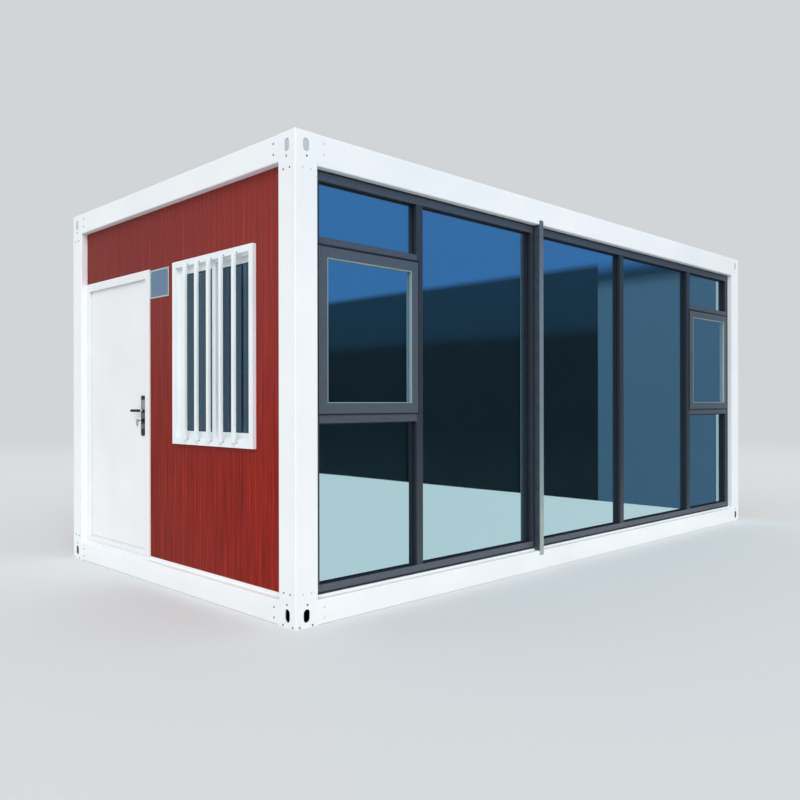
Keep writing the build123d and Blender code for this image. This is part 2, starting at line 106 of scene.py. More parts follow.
# Bare plate on the wall, beside the door frame
plate_size = (271 * mm, 204 * mm)
plate_low = 2014 * mm
plate_rim = 11 * mm
plate_rim_thickness = 3 * mm
plate_thickness = 1.5 * mm
plate_field_raise = 0.6 * mm
rivet_inset = 22 * mm
rivet_radius = 3 * mm
rivet_proud = 1.2 * mm

# Sides of round pieces, and the steps of a button head: shares of its radius and of its height
round_sides = 24
head_sides = 16
small_head_sides = 12
head_step_shares = ((0.18, 0.35), (0.3, 0.15), (0.06, -0.3))

# Frame bolts on both faces of each corner: across from it, over the ground and below the top
beam_bolts = (205 * mm, (36 * mm, 96 * mm), (46 * mm, 108 * mm))
column_bolts = ((51 * mm, 111 * mm), 192 * mm, 210 * mm)
block_bolt = (82 * mm, 130 * mm, 140 * mm)
foot_bolts = ((28 * mm, 119 * mm), 10 * mm)
bolt_radius = 6.5 * mm
bolt_proud = 1.5 * mm

# Corner blocks: the hollow behind the base slots, painted dark as shade, and the blanks of the roof slots
block_reach = 300 * mm
hollow_behind = 6 * mm
hollow_top = 142 * mm
blank_size = (44 * mm, 74 * mm)
slot_from_corner = 78 * mm
roof_slot_below_top = 78 * mm
blank_thickness = 1.5 * mm
blank_depth = 5 * mm

# Roof ribs and screws
rib_pitch = 240 * mm
rib_height = 25 * mm
roof_screw_radius = 7 * mm
roof_screw_proud = 6 * mm
roof_screw_edge = 0.14 * mm
roof_screw_chamfer = 0.84 * mm
roof_screw_dome = 0.4 * mm
roof_washer = 2 * mm
roof_washer_brim = 2.45 * mm

# Lock, latch and keys
cylinder_below_lever = 72 * mm
cylinder_proud = 5 * mm
key_thickness = 2.2 * mm
key_shank = 23 * mm
key_blade = 8 * mm
key_bow_radius = 12 * mm
key_bow_rim = 7.44 * mm
key_bow_past_shank = 8.4 * mm
ring_radius = 7 * mm
ring_wire = 1.1 * mm
ring_segments = (36, 8)
ring_below_key = 2.4 * mm
ring_turn = math.radians(25)
ring_stretch = 1.06
spare_bow_radius = 10.2 * mm
spare_bow_rim = 6 * mm
spare_bow_drop = 7.2 * mm
spare_blade_drop = 14.4 * mm
spare_blade = (7 * mm, 16 * mm)
spare_turn = math.radians(20)
lock_screw_inset = 14 * mm
lock_screw_radius = 4 * mm
lock_screw_proud = 1.6 * mm
lock_case_size = (24 * mm, 1.2 * mm, 220 * mm)
lock_case_drop = 22 * mm
latch_size = (12 * mm, 2.8 * mm, 24 * mm)
latch_round = 0.5 * mm
latch_taper_shares = (0.6, 1, 0.9)
strike_size = (22 * mm, 1.5 * mm, 120 * mm)
strike_rim = 6.16 * mm
strike_edge = 0.66 * mm
strike_sink = 1.05 * mm

# Door seal, between the stop and the leaf
stop_width = 15 * mm
stop_depth = 15 * mm
seal_width = 10 * mm
seal_thickness = 4 * mm
seal_lip = 2.5 * mm
seal_groove = 1.2 * mm
seal_clear = 1.5 * mm
sill_seal_inset = 2 * mm
jamb_face = 45 * mm

# Studio: the floor, the lamp and the cards that only glass and gloss see
floor_span = 120
floor_fade = (8.0, 26.0)
lamp_place = (-6, -7, 9)
lamp_from = (-0.52, -0.6, 0.62)
lamp_strength = 1.82
lamp_spread = math.radians(45)
surround_strength = 0.9
card_height = 12

# How squarely a face looks along an axis, how near points count as one, and folds that are shaded smooth
squarely = 0.9
one_point = 0.01 * mm
smooth_fold = math.radians(35)
smooth_head_fold = math.radians(50)


def linear(code):
    """An sRGB hex colour as linear RGBA."""
    values = [int(code[start:start + 2], 16) / 255 for start in (1, 3, 5)]
    return [v / 12.92 if v <= 0.04045 else ((v + 0.055) / 1.055) ** 2.4 for v in values] + [1.0]


def per_metre(size_mm):
    """How many features of that many millimetres fit in a metre."""
    return 1000 / size_mm


def add(tree, kind, inputs=None, **settings):
    """Add a node with its settings, each input being a value or the output that feeds it."""
    made = tree.nodes.new(kind)
    for name, value in settings.items():
        setattr(made, name, value)
    for name, value in (inputs or {}).items():
        if isinstance(value, bpy.types.NodeSocket):
            tree.links.new(value, made.inputs[name])
        else:
            made.inputs[name].default_value = value
    return made


def start_finish(name, constants):
    """A new material with constants on its shader's own sockets, and the place its patterns read."""
    material = bpy.data.materials.new(name)
    material.use_nodes = True
    tree = material.node_tree
    shader = tree.nodes["Principled BSDF"]
    for socket, value in constants.items():
        shader.inputs[socket].default_value = value
    return material, tree, shader, add(tree, "ShaderNodeTexCoord").outputs["Object"]


def set_ramp(ramp, stops):
    """Give a colour ramp its stops, as places and hex colours."""
    elements = ramp.color_ramp.elements
    while len(elements) < len(stops):
        elements.new(1.0)
    for element, (place, code) in zip(elements, stops):
        element.position = place
        element.color = linear(code)
    return ramp.outputs["Color"]


def within(tree, place, low, high):
    """1 inside a box that is mirrored to all four corners of the house, and 0 outside it."""
    mirrored = add(tree, "ShaderNodeVectorMath", {0: place}, operation="ABSOLUTE").outputs["Vector"]
    axes = add(tree, "ShaderNodeSeparateXYZ", {"Vector": mirrored})
    mask = 1.0
    for axis, start, end in zip("XYZ", low, high):
        middle, half = (start + end) / 2, (end - start) / 2
        near = add(tree, "ShaderNodeMath", {0: axes.outputs[axis], 1: middle, 2: half}, operation="COMPARE")
        mask = add(tree, "ShaderNodeMath", {0: mask, 1: near.outputs[0]}, operation="MULTIPLY").outputs[0]
    return mask


def powder_coated_steel(name, hollow=False):
    """White powder coat on folded sheet, softly glossy with a faint orange peel; inside a hollow block
    painted dark as shade.
    """
    material, tree, shader, place = start_finish(name, {"Coat Weight": 0.15, "Coat Roughness": 0.2})
    cloud = add(tree, "ShaderNodeTexNoise", {"Vector": place, "Scale": per_metre(650), "Detail": 5.0})
    tone = set_ramp(
        add(tree, "ShaderNodeValToRGB", {"Fac": cloud.outputs["Fac"]}),
        [(0.3, "#EDF1F4"), (0.7, "#F6F8F9")],
    )
    # Dust thins out over the lowest hand's breadth
    height = add(tree, "ShaderNodeSeparateXYZ", {"Vector": place}).outputs["Z"]
    low = add(
        tree, "ShaderNodeMapRange", {"Value": height, "From Max": dust_height, "To Min": 0.22, "To Max": 0.0}
    )
    speck = add(tree, "ShaderNodeTexNoise", {"Vector": place, "Scale": per_metre(14), "Detail": 8.0})
    dust_and_groove_shade = add(
        tree, "ShaderNodeMath", {0: low.outputs["Result"], 1: speck.outputs["Fac"]}, operation="MULTIPLY"
    )
    colour = add(
        tree, "ShaderNodeMix", {0: dust_and_groove_shade.outputs[0], 6: tone, 7: linear("#B9B2A4")}, data_type="RGBA"
    )
    # Painted shade: the inside of the hollow block is near black
    if hollow:
        inner = house_high - Vector((hollow_behind, hollow_behind, 0))
        mask = within(
            tree, place, (inner.x - block_reach, inner.y - block_reach, 0), (inner.x, inner.y, hollow_top)
        )
        colour = add(
            tree, "ShaderNodeMix", {0: mask, 6: colour.outputs[2], 7: linear("#101214")}, data_type="RGBA"
        )
    tree.links.new(colour.outputs[2], shader.inputs["Base Color"])
    gloss = add(tree, "ShaderNodeMapRange", {"Value": cloud.outputs["Fac"], "To Min": 0.34, "To Max": 0.46})
    tree.links.new(gloss.outputs["Result"], shader.inputs["Roughness"])
    # The peel is about 3 mm, drawn at 9 mm so that it shows
    peel = add(tree, "ShaderNodeTexNoise", {"Vector": place, "Scale": per_metre(9), "Detail": 2.0})
    bump = add(
        tree, "ShaderNodeBump", {"Height": peel.outputs["Fac"], "Strength": 0.05, "Distance": 0.6 * mm}
    )
    tree.links.new(bump.outputs["Normal"], shader.inputs["Normal"])
    return material


def wood_grain_panel():
    """Steel-faced panel with a red wood-grain film outside, streaked upright, and white inside."""
    material, tree, shader, place = start_finish("wood_grain_panel", {"Specular IOR Level": 0.08})
    # Broad streaks are 70 mm wide and fine ones 9 mm, and all are drawn out up the wall
    broad_place = add(tree, "ShaderNodeMapping", {"Vector": place, "Scale": (1.0, 1.0, 0.06)})
    broad = add(
        tree, "ShaderNodeTexNoise",
        {"Vector": broad_place.outputs[0], "Scale": per_metre(70), "Detail": 3.0, "Distortion": 0.4},
    )
    fine_place = add(tree, "ShaderNodeMapping", {"Vector": place, "Scale": (1.0, 1.0, 0.018)})
    fine = add(
        tree, "ShaderNodeTexNoise",
        {"Vector": fine_place.outputs[0], "Scale": per_metre(9), "Detail": 5.0, "Roughness": 0.6},
    )
    streak = add(tree, "ShaderNodeMix", {0: 0.8, 2: broad.outputs["Fac"], 3: fine.outputs["Fac"]})
    colour = set_ramp(
        add(tree, "ShaderNodeValToRGB", {"Fac": streak.outputs[0]}),
        [(0.35, "#66130C"), (0.46, "#881E14"), (0.54, "#962418"), (0.65, "#B03726")],
    )
    # The film is greyer high on the wall
    axes = add(tree, "ShaderNodeSeparateXYZ", {"Vector": place})
    high = add(
        tree, "ShaderNodeMapRange",
        {"Value": axes.outputs["Z"], "From Min": greying_heights[0], "From Max": greying_heights[1],
         "To Max": 0.5},
        interpolation_type="SMOOTHSTEP",
    )
    greyed = add(
        tree, "ShaderNodeMix", {0: high.outputs["Result"], 6: colour, 7: linear("#904443")}, data_type="RGBA"
    )
    # Painted light: the red is paler and warmer towards the front of the house, as if lit more fully there,
    # and darker towards the rear
    forward = add(
        tree, "ShaderNodeMapRange",
        {"Value": axes.outputs["Y"], "From Min": painted_light_reach[0], "From Max": painted_light_reach[1]},
    )
    shade = set_ramp(
        add(tree, "ShaderNodeValToRGB", {"Fac": forward.outputs["Result"]}),
        [(0.0, "#E4E1E1"), (1.0, "#FFF3F0")],
    )
    greyed_and_lit = add(
        tree, "ShaderNodeMix", {0: 1.0, 6: greyed.outputs[2], 7: shade},
        data_type="RGBA", blend_type="MULTIPLY",
    )
    # Along either wall the pressed grooves are a step of the pitch apart, and painted shade darkens them
    along = add(tree, "ShaderNodeMath", {0: axes.outputs["X"], 1: axes.outputs["Y"]}, operation="ADD")
    apart = add(tree, "ShaderNodeMath", {0: along.outputs[0], 1: panel_rib_pitch / 2}, operation="PINGPONG")
    groove = add(
        tree, "ShaderNodeMapRange",
        {"Value": apart.outputs[0], "From Max": panel_groove / 2, "To Min": 1.0, "To Max": 0.0},
        interpolation_type="SMOOTHSTEP",
    ).outputs["Result"]
    dust_and_groove_shade = add(tree, "ShaderNodeMath", {0: groove, 1: 0.24}, operation="MULTIPLY")
    ribbed = add(
        tree, "ShaderNodeMix", {0: dust_and_groove_shade.outputs[0], 6: greyed_and_lit.outputs[2], 7: linear("#2C0A08")},
        data_type="RGBA",
    )
    # The room side of every panel is plain white film
    room_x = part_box("right_wall_panels")[0].x + room_margin
    room_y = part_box("rear_wall_panels")[0].y + room_margin
    room = within(tree, place, (0, 0, 0), (room_x, room_y, house_high.z))
    face = add(
        tree, "ShaderNodeMix", {0: room, 6: ribbed.outputs[2], 7: linear("#ECEEEE")}, data_type="RGBA"
    )
    tree.links.new(face.outputs[2], shader.inputs["Base Color"])
    gloss = add(tree, "ShaderNodeMapRange", {"Value": fine.outputs["Fac"], "To Min": 0.4, "To Max": 0.58})
    tree.links.new(gloss.outputs["Result"], shader.inputs["Roughness"])
    ribs = add(
        tree, "ShaderNodeBump", {"Height": groove, "Strength": 0.5, "Distance": panel_groove_depth},
        invert=True,
    )
    bump = add(
        tree, "ShaderNodeBump",
        {"Height": fine.outputs["Fac"], "Strength": 0.18, "Distance": 0.6 * mm,
         "Normal": ribs.outputs["Normal"]},
    )
    tree.links.new(bump.outputs["Normal"], shader.inputs["Normal"])
    return material


def coated_aluminium(name, dark, middle, light):
    """Grey fine-texture coat on extruded aluminium: a dull sheen with a dense, dark grit."""
    material, tree, shader, place = start_finish(name, {"Metallic": 0.25, "Specular IOR Level": 0.45})
    grit = add(
        tree, "ShaderNodeTexNoise",
        {"Vector": place, "Scale": per_metre(6), "Detail": 8.0, "Roughness": 0.75},
    )
    colour = set_ramp(
        add(tree, "ShaderNodeValToRGB", {"Fac": grit.outputs["Fac"]}),
        [(0.3, dark), (0.5, middle), (0.7, light)],
    )
    tree.links.new(colour, shader.inputs["Base Color"])
    wipe = add(tree, "ShaderNodeTexNoise", {"Vector": place, "Scale": per_metre(240), "Detail": 4.0})
    gloss = add(tree, "ShaderNodeMapRange", {"Value": wipe.outputs["Fac"], "To Min": 0.3, "To Max": 0.5})
    tree.links.new(gloss.outputs["Result"], shader.inputs["Roughness"])
    bump = add(
        tree, "ShaderNodeBump", {"Height": grit.outputs["Fac"], "Strength": 0.08, "Distance": 0.4 * mm}
    )
    tree.links.new(bump.outputs["Normal"], shader.inputs["Normal"])
    return material


def coated_glass(name, tint, mirror, roughness, wave_mm, wave_strength, wave_depth):
    """Tinted float glass with a mirror coat, seen against the dark room."""
    material, tree, shader, place = start_finish(
        name,
        {"Base Color": linear(tint), "Metallic": mirror, "Roughness": roughness, "IOR": 1.5,
         "Transmission Weight": 1.0},
    )
    # The waves of rolled and toughened glass are a few hundred millimetres long
    wave = add(tree, "ShaderNodeTexNoise", {"Vector": place, "Scale": per_metre(wave_mm), "Detail": 1.0})
    bump = add(
        tree, "ShaderNodeBump",
        {"Height": wave.outputs["Fac"], "Strength": wave_strength, "Distance": wave_depth},
    )
    tree.links.new(bump.outputs["Normal"], shader.inputs["Normal"])
    return material


def galvanised_sheet():
    """Hot-dip zinc: a patchwork of spangle, each crystal with its own grey and gloss."""
    material, tree, shader, place = start_finish("galvanised_sheet", {"Metallic": 0.75})
    spangle = add(tree, "ShaderNodeTexVoronoi", {"Vector": place, "Scale": per_metre(16)})
    crystal = add(tree, "ShaderNodeSeparateColor", {"Color": spangle.outputs["Color"]}).outputs["Red"]
    stain = add(tree, "ShaderNodeTexNoise", {"Vector": place, "Scale": per_metre(90), "Detail": 6.0})
    blend = add(tree, "ShaderNodeMix", {0: 0.5, 2: crystal, 3: stain.outputs["Fac"]})
    colour = set_ramp(
        add(tree, "ShaderNodeValToRGB", {"Fac": blend.outputs[0]}),
        [(0.2, "#7C8388"), (0.5, "#9BA2A6"), (0.8, "#BCC2C5")],
    )
    tree.links.new(colour, shader.inputs["Base Color"])
    gloss = add(tree, "ShaderNodeMapRange", {"Value": crystal, "To Min": 0.34, "To Max": 0.6})
    tree.links.new(gloss.outputs["Result"], shader.inputs["Roughness"])
    return material


def smooth_paint(name, dark, light, roughness, peel_mm):
    """A sprayed or moulded surface of almost one tone, with a soft ripple."""
    material, tree, shader, place = start_finish(name, {"Roughness": roughness})
    cloud = add(tree, "ShaderNodeTexNoise", {"Vector": place, "Scale": per_metre(380), "Detail": 5.0})
    colour = set_ramp(
        add(tree, "ShaderNodeValToRGB", {"Fac": cloud.outputs["Fac"]}), [(0.3, dark), (0.7, light)]
    )
    tree.links.new(colour, shader.inputs["Base Color"])
    ripple = add(tree, "ShaderNodeTexNoise", {"Vector": place, "Scale": per_metre(peel_mm), "Detail": 2.0})
    bump = add(
        tree, "ShaderNodeBump", {"Height": ripple.outputs["Fac"], "Strength": 0.05, "Distance": 0.6 * mm}
    )
    tree.links.new(bump.outputs["Normal"], shader.inputs["Normal"])
    return material


def worn_metal(name, dark, light, metallic, roughness):
    """Small metal fittings: a fine mottle of handling and weather over one tone."""
    material, tree, shader, place = start_finish(name, {"Metallic": metallic})
    mottle = add(tree, "ShaderNodeTexNoise", {"Vector": place, "Scale": per_metre(5), "Detail": 6.0})
    colour = set_ramp(
        add(tree, "ShaderNodeValToRGB", {"Fac": mottle.outputs["Fac"]}), [(0.3, dark), (0.7, light)]
    )
    tree.links.new(colour, shader.inputs["Base Color"])
    gloss = add(
        tree, "ShaderNodeMapRange",
        {"Value": mottle.outputs["Fac"], "To Min": roughness - 0.08, "To Max": roughness + 0.08},
    )
    tree.links.new(gloss.outputs["Result"], shader.inputs["Roughness"])
    return material


def banded_metal(name, axis, start, end, stops):
    """Lock hardware in bands of black and brushed grey along one axis, dulled by hands."""
    material, tree, shader, place = start_finish(name, {"Specular IOR Level": 0.2})
    along = add(tree, "ShaderNodeSeparateXYZ", {"Vector": place}).outputs[axis]
    share = add(tree, "ShaderNodeMapRange", {"Value": along, "From Min": start, "From Max": end})
    colour = set_ramp(add(tree, "ShaderNodeValToRGB", {"Fac": share.outputs["Result"]}), stops)
    tree.links.new(colour, shader.inputs["Base Color"])
    smear = add(tree, "ShaderNodeTexNoise", {"Vector": place, "Scale": per_metre(8), "Detail": 5.0})
    gloss = add(tree, "ShaderNodeMapRange", {"Value": smear.outputs["Fac"], "To Min": 0.25, "To Max": 0.45})
    tree.links.new(gloss.outputs["Result"], shader.inputs["Roughness"])
    return material


def box_strip():
    """Cover strip of the unit joint: a dull zinc face plate, paler at its foot as a painted reflection, on a
    box painted darker slate as shade.
    """
    material, tree, shader, place = start_finish("box_cover_strip", {"Metallic": 0.3})
    stain = add(tree, "ShaderNodeTexNoise", {"Vector": place, "Scale": per_metre(60), "Detail": 6.0})
    axes = add(tree, "ShaderNodeSeparateXYZ", {"Vector": place})
    # The face plate is paler at its foot than at its top: a painted reflection, its edge wavering with the
    # stain
    reflection_wobble = add(tree, "ShaderNodeMath", {0: stain.outputs["Fac"], 1: 0.5, 2: -0.25}, operation="MULTIPLY_ADD")
    reflection_height = add(tree, "ShaderNodeMath", {0: axes.outputs["Z"], 1: reflection_wobble.outputs[0]}, operation="ADD")
    share = add(tree, "ShaderNodeMapRange", {"Value": reflection_height.outputs[0], "From Max": house_high.z})
    face = set_ramp(
        add(tree, "ShaderNodeValToRGB", {"Fac": share.outputs["Result"]}),
        [(0.1, "#A5B1AC"), (0.4, "#8B979E"), (0.7, "#858D98"), (0.9, "#6C727D")],
    )
    # Painted shade: the box's sides are a darker slate than the face
    side = set_ramp(
        add(tree, "ShaderNodeValToRGB", {"Fac": stain.outputs["Fac"]}), [(0.3, "#3C4751"), (0.7, "#4A555F")]
    )
    behind = face_plate_margin - house_high.y
    box = add(tree, "ShaderNodeMath", {0: axes.outputs["Y"], 1: behind}, operation="GREATER_THAN")
    colour = add(tree, "ShaderNodeMix", {0: box.outputs[0], 6: face, 7: side}, data_type="RGBA")
    tree.links.new(colour.outputs[2], shader.inputs["Base Color"])
    gloss = add(tree, "ShaderNodeMapRange", {"Value": stain.outputs["Fac"], "To Min": 0.36, "To Max": 0.5})
    tree.links.new(gloss.outputs["Result"], shader.inputs["Roughness"])
    return material


def vinyl_floor():
    """Sheet vinyl with a stone fleck, matt from cleaning."""
    material, tree, shader, place = start_finish("vinyl_floor", {"Roughness": 0.5})
    fleck = add(tree, "ShaderNodeTexVoronoi", {"Vector": place, "Scale": per_metre(7)})
    shade = add(tree, "ShaderNodeSeparateColor", {"Color": fleck.outputs["Color"]}).outputs["Green"]
    colour = set_ramp(
        add(tree, "ShaderNodeValToRGB", {"Fac": shade}),
        [(0.1, "#7E7A72"), (0.5, "#9A958B"), (0.9, "#B5B0A5")],
    )
    tree.links.new(colour, shader.inputs["Base Color"])
    return material


def coated_roof_sheet():
    """Pale grey coil-coated steel: the pans between the ribs are painted darker than the crests as shade,
    and fine dust drifts in them.
    """
    material, tree, shader, place = start_finish("coated_roof_sheet", {"Metallic": 0.1})
    # Dust lies in soft drifts a few hands wide, drawn out along the ribs
    run = add(tree, "ShaderNodeMapping", {"Vector": place, "Scale": (0.4, 1.0, 1.0)})
    drift = add(
        tree, "ShaderNodeTexNoise",
        {"Vector": run.outputs[0], "Scale": per_metre(320), "Detail": 8.0, "Roughness": 0.62},
    )
    pan = set_ramp(
        add(tree, "ShaderNodeValToRGB", {"Fac": drift.outputs["Fac"]}), [(0.3, "#B0B5B6"), (0.7, "#BEC3C4")]
    )
    # Painted shade: the crests of the ribs are lighter and the pans between them darker
    height = add(tree, "ShaderNodeSeparateXYZ", {"Vector": place}).outputs["Z"]
    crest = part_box("roof_sheet")[1].z
    rise = add(
        tree, "ShaderNodeMapRange", {"Value": height, "From Min": crest - rib_height, "From Max": crest},
        interpolation_type="SMOOTHSTEP",
    )
    colour = add(
        tree, "ShaderNodeMix", {0: rise.outputs["Result"], 6: pan, 7: linear("#DADEDF")}, data_type="RGBA"
    )
    tree.links.new(colour.outputs[2], shader.inputs["Base Color"])
    gloss = add(tree, "ShaderNodeMapRange", {"Value": drift.outputs["Fac"], "To Min": 0.38, "To Max": 0.55})
    tree.links.new(gloss.outputs["Result"], shader.inputs["Roughness"])
    return material


white_steel = powder_coated_steel("powder_coated_steel")
block_steel = powder_coated_steel("powder_coated_block", hollow=True)
red_panel = wood_grain_panel()
# The mullions and jambs take a darker copy of the rails' coat: painted shade and dark reflection on their
# flanks
upright_aluminium_shaded = coated_aluminium("coated_mullion_painted_shade", "#2B303A", "#384049", "#49525C")
rail_aluminium = coated_aluminium("coated_rail_grey", "#434955", "#525A66", "#646C76")
vent_aluminium = coated_aluminium("coated_vent_grey", "#465059", "#55606A", "#666F78")
mirror_glass = coated_glass("reflective_glass", "#B5D7DF", 0.85, 0.015, 420, 0.04, 3 * mm)
window_glass = coated_glass("window_glass", "#45809F", 0.25, 0.02, 300, 0.03, 2 * mm)
zinc = galvanised_sheet()
strip_finish = box_strip()
window_white = smooth_paint("moulded_window_white", "#E9F0F3", "#F2F7F8", 0.28, 20)
door_paint = smooth_paint("sprayed_door_enamel", "#EAECED", "#F1F2F3", 0.34, 12)
ceiling_white = smooth_paint("ceiling_board_white", "#E9EAE8", "#F2F3F1", 0.6, 30)
blank_grey = smooth_paint("slot_blank_grey", "#ADBDC8", "#BDCAD3", 0.5, 10)
white_rubber = smooth_paint("white_seal_rubber", "#DDE1E4", "#E8EBED", 0.6, 6)
# The head seal's grey is painted shade under the door head
head_shade_rubber = smooth_paint("head_seal_shade_rubber", "#9DA2A6", "#B0B4B7", 0.6, 6)
rubber = smooth_paint("gasket_rubber", "#0B131E", "#131C29", 0.62, 6)
# The beads' pale silver is a painted reflection of the sky on their bevel
bead_sky_sheen = smooth_paint("glazing_bead_sky_sheen", "#84969D", "#9AA9AE", 0.4, 10)
painted_bolt = smooth_paint("painted_bolt_white", "#CBD1D2", "#D8DDDC", 0.45, 4)
lock_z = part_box("lock_plates")[0].z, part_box("lock_plates")[1].z
lock_bands = banded_metal("banded_lock_plate", "Z", *lock_z, [
    (0.17, "#0E0F12"), (0.18, "#4D6468"), (0.29, "#4D6468"), (0.30, "#0E0F12"), (0.43, "#0E0F12"),
    (0.44, "#555A62"), (0.57, "#555A62"), (0.58, "#17191D"), (0.65, "#17191D"), (0.66, "#8A9095"),
    (0.895, "#8A9095"), (0.905, "#0E0F12"),
])
lever_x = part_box("lever_handle")[0].x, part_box("lever_handle")[1].x
lever_bands = banded_metal("banded_lever", "X", *lever_x, [
    (0.135, "#0A0B0D"), (0.15, "#B8C0C4"), (0.24, "#B8C0C4"), (0.26, "#121317"),
    (0.74, "#121317"), (0.76, "#B8C0C4"), (0.85, "#B8C0C4"), (0.865, "#0A0B0D"),
])
bolt_zinc = worn_metal("dull_bolt_zinc", "#5C6A77", "#7D8A96", 0.4, 0.5)
key_nickel = worn_metal("key_nickel", "#828C90", "#A0A9AC", 0.6, 0.35)
plate_metal = worn_metal("anodised_plate", "#5B7791", "#708EA8", 0.3, 0.45)
rim_metal = worn_metal("plate_rim_alloy", "#A4B5B2", "#BFCCC9", 0.3, 0.45)
floor_vinyl = vinyl_floor()
roof_grey = coated_roof_sheet()

corners = ("front_left", "front_right", "rear_left", "rear_right")
node_finishes = [
    (block_steel, [f"base_corner_block_{corner}" for corner in corners]),
    (white_steel, [
        "roof_corner_blocks", "corner_columns", "base_side_beams", "base_end_beams",
        "roof_side_beams", "roof_end_beams",
    ]),
    (zinc, ["floor_joists", "roof_purlins", "hinge_jamb_halves", "hinge_leaf_halves"]),
    (floor_vinyl, ["floor_board"]),
    (ceiling_white, ["ceiling_board"]),
    (roof_grey, ["roof_sheet"]),
    (red_panel, [
        "rear_wall_panels", "right_wall_panels", "left_wall_over_door", "left_wall_beside_door",
        "left_wall_under_window", "left_wall_over_window", "left_wall_front_corner",
    ]),
    (door_paint, ["door_hinge_jamb", "door_lock_jamb", "door_head", "door_sill", "door_leaf"]),
    (lock_bands, ["lock_plates"]),
    (lever_bands, ["lever_handle"]),
    (window_white, ["window_frame", "window_outer_sash", "window_inner_sash"]),
    (window_glass, ["window_glass"]),
    (rail_aluminium, ["glazing_head_rail", "glazing_sill_rail", "glazing_transoms"]),
    (upright_aluminium_shaded, ["glazing_jambs", "glazing_mullions"]),
    (vent_aluminium, ["vent_sash_left", "vent_sash_right"]),
    (mirror_glass, ["fixed_glass", "vent_glass"]),
    (strip_finish, ["joint_cover_strip"]),
]
for finish, node_names in node_finishes:
    for node_name in node_names:
        nodes[node_name].data.materials.clear()
        nodes[node_name].data.materials.append(finish)


def clear_selection():
    """Leave edit mode and select nothing."""
    if bpy.context.mode != "OBJECT":
        bpy.ops.object.mode_set(mode="OBJECT")
    bpy.ops.object.select_all(action="DESELECT")


def only(piece):
    """Make one piece the only one selected."""
    clear_selection()
    piece.select_set(True)
    bpy.context.view_layer.objects.active = piece


def settle(name):
    """Name the new piece and put its place, turn and size into its mesh."""
    piece = bpy.context.object
    piece.name = name
    bpy.ops.object.transform_apply(location=True, rotation=True, scale=True)
    return piece


def slab(name, low, high):
    """Start a piece from a cube between two corners."""
    clear_selection()
    low, high = Vector(low), Vector(high)
    bpy.ops.mesh.primitive_cube_add(size=1, location=(low + high) / 2, scale=high - low)
    return settle(name)


def rod(name, centre, radius, length, turn, sides=round_sides):
    """Start a piece from a cylinder, turned from Z."""
    clear_selection()
    bpy.ops.mesh.primitive_cylinder_add(
        vertices=sides, radius=radius, depth=length, location=centre, rotation=turn
    )
    return settle(name)


def pick_faces(piece, test):
    """Open a piece in edit mode with only the faces that pass a test selected."""
    only(piece)
    bpy.ops.object.mode_set(mode="EDIT")
    bpy.ops.mesh.select_mode(type="FACE")
    bpy.ops.mesh.select_all(action="DESELECT")
    bpy.ops.object.mode_set(mode="OBJECT")
    for face in piece.data.polygons:
        face.select = test(face)
    bpy.ops.object.mode_set(mode="EDIT")


def looking(*way):
    """A test for the faces that look one way."""
    return lambda face: face.normal.dot(Vector(way)) > squarely


def round_edges(piece, radius, segments=2):
    """Round all sharp edges and shade the rounds smooth."""
    only(piece)
    bevel = piece.modifiers.new("edges", "BEVEL")
    bevel.width = radius
    bevel.segments = segments
    bevel.limit_method = "ANGLE"
    bpy.ops.object.modifier_apply(modifier=bevel.name)
    bpy.ops.object.shade_smooth_by_angle(angle=smooth_fold)
    return piece


def hollow_ring(name, low, high, axis, width):
    """A rectangular ring: a slab whose two broad faces are inset and bridged."""
    piece = slab(name, low, high)
    pick_faces(piece, lambda face: abs(face.normal[axis]) > squarely)
    bpy.ops.mesh.inset(thickness=width)
    bpy.ops.mesh.bridge_edge_loops()
    clear_selection()
    return piece


def dress(piece, finish, body="house"):
    """Give a piece its finish and the body that carries it."""
    piece.data.materials.clear()
    piece.data.materials.append(finish)
    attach(piece, body)


def joined(name, pieces):
    """Several pieces as one."""
    clear_selection()
    for piece in pieces:
        piece.select_set(True)
    bpy.context.view_layer.objects.active = pieces[0]
    bpy.ops.object.join()
    pieces[0].name = name
    return pieces[0]


def copies(model, name, places):
    """Copies of a small fitting at places and turns, each with its own mesh, joined; the model goes."""
    made = []
    for place, turn in places:
        only(model)
        bpy.ops.object.duplicate(linked=False)
        bpy.context.object.location = place
        bpy.context.object.rotation_euler = turn
        made.append(settle(name))
    bpy.data.objects.remove(model)
    return joined(name, made)


def solid_boxes(node_name):
    """The box of each separate solid of a CAD node, read from a merged copy."""
    only(nodes[node_name])
    bpy.ops.object.duplicate(linked=False)
    bpy.ops.object.mode_set(mode="EDIT")
    bpy.ops.mesh.select_all(action="SELECT")
    bpy.ops.mesh.remove_doubles(threshold=one_point)
    bpy.ops.mesh.separate(type="LOOSE")
    bpy.ops.object.mode_set(mode="OBJECT")
    boxes = []
    for copy in list(bpy.context.selected_objects):
        points = [vertex.co for vertex in copy.data.vertices]
        low = Vector([min(point[axis] for point in points) for axis in range(3)])
        high = Vector([max(point[axis] for point in points) for axis in range(3)])
        boxes.append((low, high))
        bpy.data.objects.remove(copy)
    return sorted(boxes, key=lambda box: tuple(box[0]))


# Turns that point a fitting modelled towards -Y at each side of the house, and up
to_front = (0, 0, 0)
to_door_end = (0, 0, -math.pi / 2)
to_far_end = (0, 0, math.pi / 2)
to_rear = (0, 0, math.pi)
to_sky = (-math.pi / 2, 0, 0)


def bolt_head(name, radius, proud, sides=head_sides):
    """A low button head facing -Y: its face is drawn in to a dome, then sunk for a driver."""
    piece = rod(name, (0, -proud / 4, 0), radius, proud / 2, (math.pi / 2, 0, 0), sides)
    pick_faces(piece, looking(0, -1, 0))
    for draw_in, lift in head_step_shares:
        bpy.ops.mesh.inset(thickness=radius * draw_in, depth=proud * lift)
    only(piece)
    bpy.ops.object.shade_smooth_by_angle(angle=smooth_head_fold)
    return piece


